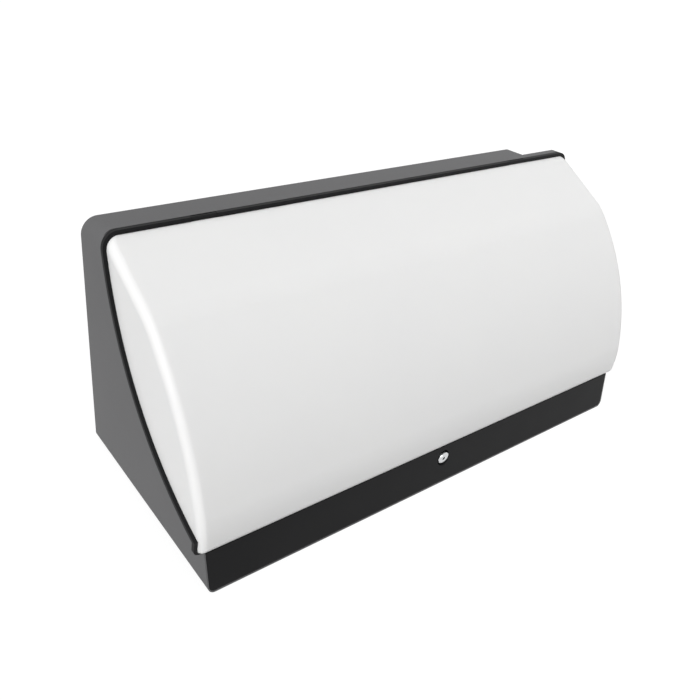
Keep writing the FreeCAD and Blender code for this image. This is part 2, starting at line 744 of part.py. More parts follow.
def make_gear_tray():
    face = f"-({TRAY_FACE})"
    low, high = "dims.tray_bottom", TRAY_TOP
    rear = f"{face} + dims.tray_return"
    sheet_in = "dims.tray_sheet"
    points = [(f"{face} - {sheet_in}", low), (rear, low), (rear, f"{low} + {sheet_in}"),
              (face, f"{low} + {sheet_in}"), (face, f"{high} - {sheet_in}"),
              (rear, f"{high} - {sheet_in}"), (rear, high), (f"{face} - {sheet_in}", high)]
    tray = padded("tray_sheet", "YZ_Plane", [points], f"2 * {TRAY_HALF}")
    holes = [rod(f"tray_hole_{index}", "y", x, f"{face} - 5", z, "dims.small_screw_radius + 0.2", "10")
             for index, (x, z) in enumerate(tray_post_positions())]
    holes += [rod(f"board_pilot_{index}", "y", x, f"{face} - 5", z, "dims.small_screw_radius", "10")
              for index, (x, z) in enumerate(board_screw_positions())]
    sub_part(cut("gear_tray", tray, *holes), "gear_tray")
    screws = [pan_screw(f"tray_screw_{index}", x, f"{face} - {sheet_in}", z, "y")
              for index, (x, z) in enumerate(tray_post_positions())]
    sub_part(together("tray_screws", screws), "tray_screws")


BOARD_LEVELS = ("lower", "middle", "upper")
BOARD_BACK = f"{TRAY_FACE} + dims.tray_sheet"
BOARD_FRONT = f"{BOARD_BACK} + dims.board_thickness"


def board_height(index):
    """The middle height of one light board."""
    return f"dims.board_first_height + {index} * dims.board_pitch"


def board_screw_positions():
    """Two screws on each light board, beside its plugs."""
    x = "dims.board_length / 2 - dims.plug_width - 2 * dims.plug_inset - dims.small_head_radius"
    return [(f"{side} * ({x})", board_height(index)) for index in range(len(BOARD_LEVELS))
            for side in (-1, 1)]


def make_light_boards():
    for index, level in enumerate(BOARD_LEVELS):
        middle = board_height(index)
        low = f"{middle} - dims.board_height / 2"
        outline = rectangle("-dims.board_length / 2", low, "dims.board_length", "dims.board_height")
        board = padded(f"board_{level}", "XZ_Plane", [outline], "dims.board_thickness", False)
        place(board, y=f"-({BOARD_BACK})")
        holes = [rod(f"board_hole_{level}_{k}", "y", x, f"-({BOARD_FRONT}) - 1", z,
                     "dims.small_screw_radius + 0.2", "dims.board_thickness + 2")
                 for k, (x, z) in enumerate(board_screw_positions()[2 * index:2 * index + 2])]
        sub_part(cut(f"light_board_{level}", board, *holes), f"light_board_{level}")
        make_light_chips(level, middle)
    screws = [pan_screw(f"board_screw_{index}", x, f"-({BOARD_FRONT})", z, "y")
              for index, (x, z) in enumerate(board_screw_positions())]
    sub_part(together("board_screws", screws), "board_screws")


def make_light_chips(level, middle):
    """One evenly spaced row of light chips on a board."""
    count = int(size("led_count"))
    chips = [block(f"chip_{level}_{k}", f"{2 * k - count + 1} / 2 * dims.led_pitch - dims.led_size / 2",
                   f"-({BOARD_FRONT}) - dims.led_height", f"{middle} - dims.led_size / 2",
                   "dims.led_size", "dims.led_height", "dims.led_size") for k in range(count)]
    sub_part(together(f"light_chips_{level}", chips), f"light_chips_{level}")


PLUG_X = "dims.board_length / 2 - dims.plug_inset - dims.plug_width / 2"
PLUG_Y = f"-({BOARD_FRONT}) - dims.plug_depth / 2"
PLUG_PLACES = ((0, -1), (0, 1), (1, 1), (1, -1), (2, -1))


def make_board_plugs():
    plugs = [block(f"plug_{k}", f"{side} * ({PLUG_X}) - dims.plug_width / 2",
                   f"-({BOARD_FRONT}) - dims.plug_depth",
                   f"{board_height(level)} - dims.plug_height / 2",
                   "dims.plug_width", "dims.plug_depth", "dims.plug_height")
             for k, (level, side) in enumerate(PLUG_PLACES)]
    sub_part(together("board_plugs", plugs), "board_plugs")


def make_board_jumpers():
    """Short paired wires from the plug of one board to that of the next."""
    for name, level, side in (("lower", 0, 1), ("upper", 1, -1)):
        low = f"{board_height(level)} + dims.plug_height / 2"
        leads = [rod(f"jumper_{name}_{k}", "z", f"{side} * ({PLUG_X}) + {shift}", PLUG_Y, low,
                     "dims.wire_radius", "dims.board_pitch - dims.plug_height")
                 for k, shift in enumerate((-2, 2))]
        sub_part(together(f"board_jumper_{name}", leads), f"board_jumper_{name}")


# ---------------------------------------------------------------- driver and terminal block

PAD_TOP = "dims.floor_plate + dims.floor_pad_height"


def make_driver():
    across, tall = "dims.driver_width", "dims.driver_height"
    inset = "dims.driver_sheet"
    low_y = f"-({DRIVER_BACK}) - {across}"
    inside = rectangle(f"{low_y} + {inset}", f"{PAD_TOP} + {inset}", f"{across} - 2 * {inset}",
                       f"{tall} - 2 * {inset}")
    case = padded("driver_case", "YZ_Plane", [rectangle(low_y, PAD_TOP, across, tall), inside],
                  "dims.driver_length")
    sub_part(case, "driver_case", x="dims.driver_centre_x")
    sub_part(padded("driver_fill", "YZ_Plane", [inside], "dims.driver_length"), "driver_fill",
             x="dims.driver_centre_x")
    feet, _ = floor_screw_positions()
    for name, sign, (x, y) in (("left", -1, feet[0]), ("right", 1, feet[1])):
        cap_x = f"dims.driver_centre_x + {sign} * ({DRIVER_HALF} + dims.driver_cap / 2)"
        foot_x = (f"dims.driver_centre_x + {sign} * ({DRIVER_HALF} + dims.driver_cap"
                  " + dims.driver_foot / 2)")
        cap = block(f"driver_cap_{name}", f"{cap_x} - dims.driver_cap / 2", low_y, PAD_TOP,
                    "dims.driver_cap", across, tall)
        foot = block(f"driver_foot_{name}", f"{foot_x} - dims.driver_foot / 2", low_y, PAD_TOP,
                     "dims.driver_foot", across, "dims.driver_foot_height")
        hole = rod(f"driver_foot_hole_{name}", "z", x, y, f"{PAD_TOP} - 1",
                   "dims.small_screw_radius + 0.2", "dims.driver_foot_height + 2")
        sub_part(cut(f"driver_end_{name}", fuse(f"driver_end_{name}_blank", cap, foot), hole),
                 f"driver_end_{name}")
    screws = [pan_screw(f"driver_screw_{k}", x, y, f"{PAD_TOP} + dims.driver_foot_height", "-z")
              for k, (x, y) in enumerate(feet)]
    sub_part(together("driver_screws", screws), "driver_screws")


CLAMP_Z = f"{PAD_TOP} + dims.terminal_clamp_height"
TERMINAL_FRONT = f"-({DRIVER_MID}) - dims.terminal_depth / 2"


def pole_x(index):
    """The middle of one terminal pole."""
    return f"dims.terminal_centre_x + {index} * dims.terminal_pitch"


def make_terminal_block():
    low_x = f"dims.terminal_centre_x - ({TERMINAL_HALF})"
    solid = padded("terminal_block", "XZ_Plane",
                   [rectangle(low_x, PAD_TOP, f"2 * ({TERMINAL_HALF})",
                              "dims.terminal_body_height")], "dims.terminal_depth")
    place(solid, y=f"-({DRIVER_MID})")
    ears = block("terminal_ears", f"{low_x} - dims.terminal_ear",
                 f"-({DRIVER_MID}) - dims.floor_pad_radius", PAD_TOP,
                 f"2 * ({TERMINAL_HALF}) + 2 * dims.terminal_ear", "2 * dims.floor_pad_radius",
                 "dims.terminal_ear_height")
    clamps, screws = [], []
    holes = []
    for index in (-1, 0, 1):
        seat = ("y", pole_x(index), TERMINAL_FRONT, CLAMP_Z)
        holes.append(rod(f"clamp_seat_{index + 1}", *seat, "dims.terminal_clamp_radius",
                         "dims.terminal_depth"))
        barrel = rod(f"clamp_{index + 1}", *seat, "dims.terminal_clamp_radius",
                     "dims.terminal_depth")
        bores = [rod(f"clamp_bore_{index + 1}", *seat, "dims.terminal_bore_radius",
                     "dims.terminal_depth")]
        for end in (-1, 1):
            name = f"terminal_screw_{index + 1}_{(end + 1) // 2}"
            y = f"-({DRIVER_MID}) + {end} * dims.terminal_depth / 4"
            tapped = ("z", pole_x(index), y, f"{CLAMP_Z} + dims.terminal_bore_radius / 2",
                      "dims.terminal_screw_radius")
            bores.append(rod(name + "_tapped", *tapped, "dims.terminal_clamp_radius"))
            holes.append(rod(name + "_well", "z", pole_x(index), y, CLAMP_Z,
                             "dims.terminal_screw_radius + 0.2", "dims.terminal_body_height"))
            shank = rod(name + "_shank", *tapped, "dims.terminal_body_height"
                        " - dims.terminal_clamp_height - dims.terminal_bore_radius / 2 - 1")
            slot = block(name + "_slot", f"{pole_x(index)} - dims.terminal_screw_radius",
                         f"{y} - 0.3", f"{PAD_TOP} + dims.terminal_body_height - 1.8",
                         "2 * dims.terminal_screw_radius", "0.6", "2")
            screws.append(cut(name, shank, slot))
        clamps.append(cut(f"clamp_{index + 1}_cut", barrel, *bores))
    _, ear_screws = floor_screw_positions()
    holes += [rod(f"ear_hole_{k}", "z", x, y, f"{PAD_TOP} - 1", "dims.small_screw_radius + 0.2",
                  "dims.terminal_ear_height + 2") for k, (x, y) in enumerate(ear_screws)]
    sub_part(cut("terminal_body", fuse("terminal_blank", solid, ears), *holes), "terminal_body")
    sub_part(together("terminal_clamps", clamps), "terminal_clamps")
    sub_part(together("terminal_screws", screws), "terminal_screws")
    fixings = [pan_screw(f"ear_screw_{k}", x, y, f"{PAD_TOP} + dims.terminal_ear_height", "-z")
               for k, (x, y) in enumerate(ear_screws)]
    sub_part(together("terminal_fixings", fixings), "terminal_fixings")


EARTH_TOP = "dims.floor_plate + dims.earth_post_height"
EARTH_Y = f"-({DRIVER_MID})"


def make_earth_point():
    ring_radius = "dims.earth_post_radius"
    hole = "dims.screw_radius + dims.running_clearance"
    plate = rod("earth_plate", "z", "dims.earth_x", EARTH_Y, EARTH_TOP, ring_radius,
                "dims.earth_tag_thickness")
    tongue = block("earth_tongue", "dims.earth_x - 2.5", f"{EARTH_Y} - 10", EARTH_TOP, "5", "10",
                   "dims.earth_tag_thickness")
    tag_hole = rod("earth_tag_hole", "z", "dims.earth_x", EARTH_Y, f"{EARTH_TOP} - 1", hole, "4")
    sub_part(cut("earth_tag", fuse("earth_tag_blank", plate, tongue), tag_hole), "earth_tag")
    washer_low = f"{EARTH_TOP} + dims.earth_tag_thickness"
    disc = rod("earth_disc", "z", "dims.earth_x", EARTH_Y, washer_low, ring_radius,
               "dims.washer_thickness")
    disc_hole = rod("earth_disc_hole", "z", "dims.earth_x", EARTH_Y, f"{washer_low} - 1", hole, "4")
    sub_part(cut("earth_washer", disc, disc_hole), "earth_washer")
    seat = f"{washer_low} + dims.washer_thickness"
    head = rod("earth_head", "z", "dims.earth_x", EARTH_Y, seat, "dims.screw_head_radius",
               "dims.screw_head_height")
    shank = rod("earth_shank", "z", "dims.earth_x", EARTH_Y,
                f"{seat} - dims.earth_screw_length", "dims.screw_radius",
                "dims.earth_screw_length")
    slot = block("earth_slot", "dims.earth_x - dims.screw_head_radius", f"{EARTH_Y} - 0.5",
                 f"{seat} + dims.screw_head_height / 2", "2 * dims.screw_head_radius", "1",
                 "dims.screw_head_height")
    sub_part(cut("earth_screw", fuse("earth_screw_blank", head, shank), slot), "earth_screw")


# ---------------------------------------------------------------- wires


def bent_path(points):
    """A path of straight runs with a tangent arc at each corner."""
    edges = []
    start = points[0]
    for before, corner, after in zip(points, points[1:], points[2:]):
        run_in, run_out = corner - before, after - corner
        trim = 0.45 * min(run_in.Length, run_out.Length)
        turn = run_in.getAngle(run_out)
        run_in.normalize()
        run_out.normalize()
        inwards = run_out - run_in
        inwards.normalize()
        first, last = corner - run_in * trim, corner + run_out * trim
        middle = corner + inwards * (trim * math.tan(turn / 4))
        edges.append(Part.LineSegment(start, first).toShape())
        edges.append(Part.Arc(first, middle, last).toShape())
        start = last
    edges.append(Part.LineSegment(start, points[-1]).toShape())
    return Part.Wire(edges)


def wire(name, places):
    """One insulated wire through points given as triples of expressions."""
    points = [Vector(*(number(e) for e in place_of_bend)) for place_of_bend in places]
    path = bent_path(points)
    direction = points[1] - points[0]
    end = Part.Wire(Part.Circle(points[0], direction, size("wire_radius")).toShape())
    item = doc.addObject("Part::Feature", name)
    item.Shape = path.makePipeShell([end], True, False)
    sub_part(item, name)


DRIVER_EXIT_Z = f"{PAD_TOP} + dims.driver_height / 2"


def make_wires():
    right = f"dims.driver_centre_x + {DRIVER_HALF} + dims.driver_cap"
    left = f"dims.driver_centre_x - {DRIVER_HALF} - dims.driver_cap"
    front = TERMINAL_FRONT
    live_y, neutral_y = f"{EARTH_Y} - 9", f"{EARTH_Y} - 2"
    wire("live_wire", [
        (pole_x(-1), front, CLAMP_Z), (pole_x(-1), f"{front} - 12", CLAMP_Z),
        (f"{pole_x(-1)} - 18", f"{front} - 16", f"{CLAMP_Z} + 1.5"),
        (f"{right} + 10", live_y, DRIVER_EXIT_Z), (right, live_y, DRIVER_EXIT_Z)])
    wire("neutral_wire", [
        (pole_x(0), front, CLAMP_Z), (pole_x(0), f"{front} - 7", CLAMP_Z),
        (f"{pole_x(0)} - 16", f"{front} - 8", DRIVER_EXIT_Z),
        (f"{right} + 14", neutral_y, DRIVER_EXIT_Z), (right, neutral_y, DRIVER_EXIT_Z)])
    tag_z = f"{EARTH_TOP} + dims.earth_tag_thickness + dims.wire_radius"
    wire("earth_wire", [
        (pole_x(1), front, CLAMP_Z), (pole_x(1), f"{front} - 9", CLAMP_Z),
        (f"{pole_x(1)} + 12", f"{front} - 14", CLAMP_Z),
        ("dims.earth_x - 4", f"{front} - 10", f"{tag_z} + 1"),
        ("dims.earth_x", f"{EARTH_Y} - 12", tag_z), ("dims.earth_x", f"{EARTH_Y} - 5", tag_z)])
    plug_low = f"{board_height(0)} - dims.plug_height / 2"
    for name, y, shift, drop in (("light_wire_positive", f"{EARTH_Y} - 4", -2, 0),
                                 ("light_wire_negative", f"{EARTH_Y} + 4", 2, 3)):
        x = f"-({PLUG_X}) + {shift}"
        wire(name, [
            (left, y, DRIVER_EXIT_Z), (f"{left} - 11", y, DRIVER_EXIT_Z),
            (f"{x} + 10", f"{y} + 7", f"{DRIVER_EXIT_Z} + 4"),
            (x, f"{PLUG_Y} - 8", f"{DRIVER_EXIT_Z} + 12 - {drop}"),
            (x, PLUG_Y, f"{plug_low} - 10"), (x, PLUG_Y, plug_low)])


# ---------------------------------------------------------------- cover rim and skirt plate


def make_cover_rim():
    frame = common("rim_frame", ring("rim_ring", LIP_OUTLINE, RIM_OPENING),
                   mouth_band("rim_band", "0", "dims.rim_thickness"))
    inner_edge = "dims.rim_flange_width - dims.rim_width + 1.5"
    flange_opening = (SEAL_IN_HALF, f"{RIM_IN_LOW} + {inner_edge}",
                      "dims.body_height - dims.side_wall - dims.seal_width",
                      "dims.top_corner_radius / 2", "dims.rim_width")
    flange = common("rim_flange", ring("flange_ring", RIM_OPENING, flange_opening),
                    mouth_band("flange_band", "dims.rim_thickness - dims.rim_flange_thickness",
                               "dims.rim_thickness"))
    bead = rod("hinge_bead", "x", f"-({LIP_HALF} - ({LIP_RADIUS}))", HINGE_Y, HINGE_Z,
               "dims.bead_radius", f"2 * ({LIP_HALF} - ({LIP_RADIUS}))")
    plate_half = "dims.body_width / 2 - dims.skirt_edge_lip - dims.cover_gap"
    plate_low = "dims.skirt_edge_lip + dims.cover_gap"
    plate_outline = rounded_prism("plate_outline", plate_half, plate_low, "2 * dims.skirt_height",
                                  "dims.base_corner_radius",
                                  f"dims.base_corner_radius - ({plate_low})")
    plate = common("skirt_plate", plate_outline,
                   leaning_slab("plate_slab", "0", "dims.skirt_plate", LIP_HALF, plate_low,
                                "dims.skirt_height"))
    reach = f"dims.body_depth - ({SILL_FACE})"
    cup = cut("screw_cup", rod("cup", "y", "0", FRONT, "dims.screw_height", "dims.cup_radius",
                               reach),
              leaning_slab("cup_trim", "-50", "50", LIP_HALF, "0", "2 * dims.skirt_height"))
    cup_wall = f"-({SILL_FACE}) - dims.cup_end_wall"
    holes = [rod("counterbore", "y", "0", f"{cup_wall} - 20", "dims.screw_height",
                 "dims.counterbore_radius", "20"),
             rod("screw_clearance", "y", "0", f"{cup_wall} - 1", "dims.screw_height",
                 "dims.screw_radius + dims.running_clearance", "dims.cup_end_wall + 2")]
    for side in (-1, 1):
        middle = f"{side} * {KNUCKLE_X}"
        width = "dims.knuckle_width + 2 * dims.knuckle_gap"
        holes.append(block(f"knuckle_slot_{side + 1}", f"{middle} - ({width}) / 2",
                           f"{HINGE_Y} - 5", f"{HINGE_Z} - dims.bead_radius - dims.knuckle_gap",
                           width, "10", "10"))
        holes.append(rod(f"pin_bore_{side + 1}", "x", f"{middle} - dims.pin_length / 2 - 0.2",
                         HINGE_Y, HINGE_Z, "dims.pin_radius + dims.running_clearance",
                         "dims.pin_length + 0.4"))
    solid = fuse("rim_solid", frame, flange, bead, plate, cup)
    sub_part(cut("cover_rim", solid, *holes), "cover_rim")
    return solid


def make_hinge_parts():
    for side, name in ((-1, "left"), (1, "right")):
        middle = f"{side} * {KNUCKLE_X}"
        barrel = rod(f"knuckle_barrel_{name}", "x", f"{middle} - dims.knuckle_width / 2",
                     HINGE_Y, HINGE_Z, "dims.bead_radius", "dims.knuckle_width")
        bore = rod(f"knuckle_bore_{name}", "x", f"{middle} - dims.knuckle_width", HINGE_Y,
                   HINGE_Z, "dims.pin_radius", "2 * dims.knuckle_width")
        tab = knuckle_tab(f"knuckle_tab_{name}", side)
        sub_part(cut(f"hinge_knuckle_{name}", fuse(f"knuckle_{name}", barrel, tab), bore),
                 f"hinge_knuckle_{name}")
        pin = rod(f"hinge_pin_{name}", "x", f"{middle} - dims.pin_length / 2", HINGE_Y, HINGE_Z,
                  "dims.pin_radius", "dims.pin_length")
        sub_part(pin, f"hinge_pin_{name}", y=HINGE_Y, z=HINGE_Z)


# ---------------------------------------------------------------- diffuser


LENS_TOP_Y = (f"({MOUTH_Y} + sqrt(dims.mouth_radius ^ 2 - ({MOUTH_Z} - ({RIM_IN_TOP})) ^ 2)"
              " + dims.lens_brow_inset)")

# The front's large arc runs from the end of the brow's straight line to the start of the chin.
BROW_END_Y = f"({LENS_TOP_Y} - dims.lens_brow_run * cos(dims.lens_brow_slope))"
BROW_END_Z = f"({RIM_IN_TOP} - dims.lens_brow_run * sin(dims.lens_brow_slope))"
CHIN_Y = f"-({MOUTH_FRONT} + dims.lens_chin_start_overhang)"
LENS_CHORD_Y = f"({BROW_END_Y} - ({CHIN_Y}))"
LENS_CHORD_Z = f"({BROW_END_Z} - dims.lens_chin_start_height)"
LENS_CHORD = f"sqrt({LENS_CHORD_Y} ^ 2 + {LENS_CHORD_Z} ^ 2)"
LENS_REACH = f"sqrt(dims.lens_front_radius ^ 2 - ({LENS_CHORD_Y} ^ 2 + {LENS_CHORD_Z} ^ 2) / 4)"
LENS_CENTRE_Y = (f"(({BROW_END_Y} + ({CHIN_Y})) / 2"
                 f" + {LENS_REACH} * {LENS_CHORD_Z} / {LENS_CHORD})")
LENS_CENTRE_Z = (f"(({BROW_END_Z} + dims.lens_chin_start_height) / 2"
                 f" - {LENS_REACH} * {LENS_CHORD_Y} / {LENS_CHORD})")
CHIN_CENTRE_Z = (f"(dims.lens_chin_start_height + ({LENS_CENTRE_Z} - dims.lens_chin_start_height)"
                 " * dims.lens_chin_radius / dims.lens_front_radius)")


def lens_side(name, shrink):
    """The diffuser seen from the side, with every face moved inwards by `shrink`."""
    sketch = side_sketch(name)
    top = f"{RIM_IN_TOP} - {shrink}"
    rear, low = f"{LENS_TOP_Y} + 10", "dims.skirt_height"
    slope = "dims.lens_brow_slope"
    start = f"{LENS_TOP_Y} + {shrink} * tan({slope} / 2)"
    centre_y, centre_z = LENS_CENTRE_Y, LENS_CENTRE_Z
    big, brow, chin = (f"dims.lens_{part}_radius - {shrink}" for part in ("front", "brow", "chin"))
    y0, z0, zb = number(start), number(top), number(CHIN_CENTRE_Z)
    yr, zl = number(rear), number(low)
    cy, cz = number(centre_y), number(centre_z)
    ra, rw, rb = number(big), number(brow), number(chin)
    angle = math.radians(size("lens_brow_slope"))
    along, inward = Vector(-math.cos(angle), -math.sin(angle)), Vector(math.sin(angle),
                                                                    -math.cos(angle))
    begin, centre = Vector(y0, z0), Vector(cy, cz)
    base = begin + inward * rw - centre
    across = base.dot(along)
    run = -across + math.sqrt(across ** 2 - base.dot(base) + (ra - rw) ** 2)
    brow_start = begin + along * run
    brow_centre = brow_start + inward * rw
    way = brow_centre - centre
    way.normalize()
    brow_end = centre + way * ra
    drop = cz - zb
    chin_centre = Vector(cy - math.sqrt((ra - rb) ** 2 - drop ** 2), zb)
    way = chin_centre - centre
    way.normalize()
    chin_start = centre + way * ra
    chin_end = Vector(chin_centre.x - math.sqrt(rb ** 2 - (zb - zl) ** 2), zl)

    def arc(middle, radius, first, last):
        circle = Part.Circle(middle, Vector(0, 0, 1), radius)
        angles = [math.atan2(p.y - middle.y, p.x - middle.x) % (2 * math.pi)
                  for p in (first, last)]
        return Part.ArcOfCircle(circle, *angles)

    for item in (Part.LineSegment(Vector(yr, z0), begin), Part.LineSegment(begin, brow_start),
                 arc(brow_centre, rw, brow_start, brow_end),
                 arc(centre, ra, brow_end, chin_start), arc(chin_centre, rb, chin_start, chin_end),
                 Part.LineSegment(chin_end, Vector(yr, zl)),
                 Part.LineSegment(Vector(yr, zl), Vector(yr, z0))):
        sketch.addGeometry(item)
    for first, second, kind in ((0, 1, "Coincident"), (1, 2, "Tangent"), (2, 3, "Tangent"),
                                (3, 4, "Tangent"), (4, 5, "Coincident"), (5, 6, "Coincident"),
                                (6, 0, "Coincident")):
        sketch.addConstraint(Sketcher.Constraint(kind, first, 2, second, 1))
    for line, direction in ((0, "Horizontal"), (5, "Horizontal"), (6, "Vertical")):
        sketch.addConstraint(Sketcher.Constraint(direction, line))
    fix_point(sketch, 1, 1, start, top)
    fix_point(sketch, 6, 1, rear, low)
    fix_point(sketch, 3, 3, centre_y, centre_z)
    fix_point(sketch, 4, 3, y=CHIN_CENTRE_Z)
    for index, radius in ((2, brow), (3, big), (4, chin)):
        row = sketch.addConstraint(Sketcher.Constraint("Radius", index, number(radius)))
        sketch.setExpression(f"Constraints[{row}]", radius)
    row = sketch.addConstraint(Sketcher.Constraint("Angle", 1, angle - math.pi))
    sketch.setExpression(f"Constraints[{row}]", f"{slope} - 180")
    return sketch


def is_end_face(face):
    """The flat and rounded end faces of the diffuser, which run along Y."""
    return is_flat(face, ALONG_X) or is_round(face, ALONG_Y)


def is_front_face(face):
    """The front faces of the diffuser, seen as one line from the side."""
    normal = face.Surface.Axis
    if isinstance(face.Surface, Part.Cylinder):
        return abs(normal.x) > 0.999
    return abs(normal.x) < 0.001 and abs(normal.y) > 0.1 and abs(normal.z) > 0.1


def lens_solid(name, shrink, low, low_radius):
    """One closed skin of the diffuser, moved inwards by `shrink`, with rounded ends."""
    half = f"{RIM_IN_HALF} - {shrink}"
    side = extrude(name + "_side", lens_side(name + "_side", shrink), half, half)
    outline = rounded_prism(name + "_outline", half, low, f"{RIM_IN_TOP} - {shrink}",
                            f"{RIM_IN_RADIUS} - {shrink}", low_radius)
    sharp = common(name + "_sharp", side, outline)
    doc.recompute()
    edges = numbered_edges(sharp, is_end_face, is_front_face)
    return fillet(name, sharp, edges, size("lens_edge_radius") - number(shrink))


LENS_SEAT = "dims.rim_thickness - dims.rim_flange_thickness - dims.lens_seal_thickness"


def knuckle_rooms(name):
    """Clearance for the two hinge knuckles, about the hinge axis."""
    return [rod(f"{name}_{side + 1}", "x",
                f"{side} * {KNUCKLE_X} - dims.knuckle_width / 2 - dims.knuckle_gap",
                HINGE_Y, HINGE_Z, "dims.bead_radius + dims.knuckle_gap",
                "dims.knuckle_width + 2 * dims.knuckle_gap") for side in (-1, 1)]


def make_diffuser(rim):
    outer = lens_solid("lens_skin", "0", "dims.skirt_height + dims.lens_low_gap",
                       "dims.rim_thickness")
    inner = lens_solid("lens_hollow", "dims.lens_wall", f"{RIM_IN_LOW} + dims.lens_wall",
                       "dims.lens_wall / 2")
    shell = cut("lens_shell", outer, inner)
    front = common("lens_front", shell, before_mouth("lens_seat", LENS_SEAT))
    sub_part(cut("diffuser", front, rim, *knuckle_rooms("knuckle_room")), "diffuser")


def make_lens_seal(rim):
    edge = "dims.lens_seal_thickness / 2"
    outer = (f"{RIM_IN_HALF} - {edge}", f"{RIM_IN_LOW} + {edge}", f"{RIM_IN_TOP} - {edge}",
             f"{RIM_IN_RADIUS} - {edge}", "dims.rim_width")
    wall = f"dims.lens_wall + {edge}"
    inner = (f"{RIM_IN_HALF} - ({wall})", f"{RIM_IN_LOW} + {wall}", f"{RIM_IN_TOP} - ({wall})",
             f"{RIM_IN_RADIUS} - ({wall})", "dims.rim_width / 2")
    layer = common("lens_seal_layer", ring("lens_seal_ring", outer, inner),
                   mouth_band("lens_seal_band", LENS_SEAT,
                              f"{LENS_SEAT} + dims.lens_seal_thickness"))
    sub_part(cut("lens_seal", layer, rim, *knuckle_rooms("seal_room")), "lens_seal")


# ---------------------------------------------------------------- captive cover screw

CUP_SEAT = f"{SILL_FACE} + dims.cup_end_wall"
SCREW_OUT = f"{CUP_SEAT} + dims.screw_seal_thickness + dims.screw_seat_gap + dims.screw_travel"


def flat_ring(name, radius, thickness):
    """A washer-like ring that fits the cover screw."""
    hole = "dims.screw_radius + dims.running_clearance"
    return turned(name, [(hole, "0"), (radius, "0"), (radius, thickness), (hole, thickness)])


def make_cover_screw():
    height = "dims.screw_height"
    seal_low = f"-({CUP_SEAT} + dims.screw_seal_thickness)"
    sub_part(flat_ring("cover_screw_seal", "dims.screw_seal_radius", "dims.screw_seal_thickness"),
             "cover_screw_seal", y=seal_low, z=height)
    seat = f"-({SCREW_OUT} + dims.washer_thickness)"
    sub_part(flat_ring("cover_screw_washer", "dims.screw_head_radius", "dims.washer_thickness"),
             "cover_screw_washer", y=seat, z=height)
    shank = (f"{SCREW_OUT} + dims.washer_thickness - ({SILL_FACE}) - dims.screw_tip_clearance")
    head, radius = "dims.screw_head_height", "dims.screw_head_radius"
    thin = "dims.screw_radius"
    points = [("0", f"-{head}"), (f"{radius} * 0.84", f"-{head}"),
              (f"{radius} * 0.95", f"-{head} * 0.93"), (radius, f"-{head} * 0.76"),
              (radius, "0"), (thin, "0"), (thin, f"{shank} - 0.5"),
              (f"{thin} - 0.4", shank), ("0", shank)]
    screw = turned("cover_screw", points)
    sink_socket(screw, "cover_screw", "dims.screw_socket_radius", "dims.screw_socket_depth",
                f"-{head}")
    sub_part(screw, "cover_screw", y=seat, z=height)


# ---------------------------------------------------------------- build

make_housing()
make_mouth_seal()
make_screw_insert()
make_cable_grommet()
make_gear_tray()
make_light_boards()
make_board_plugs()
make_board_jumpers()
make_driver()
make_terminal_block()
make_earth_point()
make_wires()
rim_solid = make_cover_rim()
make_diffuser(rim_solid)
make_lens_seal(rim_solid)
make_hinge_parts()
make_cover_screw()

doc.recompute()
for item in doc.Objects:
    if "Invalid" in item.State or "Error" in item.State:
        raise RuntimeError(f"{item.Name} ({item.Label}) failed: {item.State}")
for item in sub_parts:
    shape = item.Shape
    if shape.isNull() or not shape.isValid() or not shape.Solids:
        raise RuntimeError(f"{item.Label} has no valid solid")
for item in sub_parts:
    item.Shape.exportStep(f"parts/{item.Label}.step")
    box = item.Shape.BoundBox
    print(f"{item.Label}: {len(item.Shape.Solids)} solids, {item.Shape.Volume:.0f} mm3, "
          f"{box.XLength:.1f} x {box.YLength:.1f} x {box.ZLength:.1f}")
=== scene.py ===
"""Wall pack light: finishes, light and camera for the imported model.

Metres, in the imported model's frame: X along the width, -Y towards the viewer, +Z up, with the
origin in the middle of the wall fixings.
"""
import math

import bpy
from mathutils import Matrix, Vector


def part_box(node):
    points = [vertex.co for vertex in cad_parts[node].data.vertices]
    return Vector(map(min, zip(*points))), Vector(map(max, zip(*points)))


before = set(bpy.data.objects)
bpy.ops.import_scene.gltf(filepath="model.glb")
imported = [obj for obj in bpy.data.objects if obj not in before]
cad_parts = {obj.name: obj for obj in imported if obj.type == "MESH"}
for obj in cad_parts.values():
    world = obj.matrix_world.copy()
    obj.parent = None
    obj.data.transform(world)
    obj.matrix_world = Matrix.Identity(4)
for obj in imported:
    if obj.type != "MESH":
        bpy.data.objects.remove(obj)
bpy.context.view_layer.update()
MM = 0.001
EVEN = (1, 1, 1)


# ---------------------------------------------------------------- node and colour helpers


def colour(code):
    """A linear colour from an sRGB hex code."""
    channels = [int(code[i:i + 2], 16) / 255 for i in (1, 3, 5)]
    return tuple(c / 12.92 if c <= 0.04045 else ((c + 0.055) / 1.055) ** 2.4
                 for c in channels) + (1.0,)


def add(tree, kind, inputs=None, **settings):
    """Add a node with its settings, and set or link its inputs."""
    node = tree.nodes.new(kind)
    for name, value in settings.items():
        setattr(node, name, value)
    for name, value in (inputs or {}).items():
        if isinstance(value, bpy.types.NodeSocket):
            tree.links.new(value, node.inputs[name])
        else:
            node.inputs[name].default_value = value
    return node


def surface(name, tint, roughness, **sockets):
    """A material with one Principled shader, whose uniform values sit on its own sockets.

    The tint and the roughness hold wherever no pattern is linked to them.
    """
    material = bpy.data.materials.new(name)
    material.use_nodes = True
    tree = material.node_tree
    shader = tree.nodes["Principled BSDF"]
    shader.inputs["Base Color"].default_value = colour(tint)
    shader.inputs["Roughness"].default_value = roughness
    for socket, value in sockets.items():
        shader.inputs[socket.replace("_", " ")].default_value = value
    return material, tree, shader


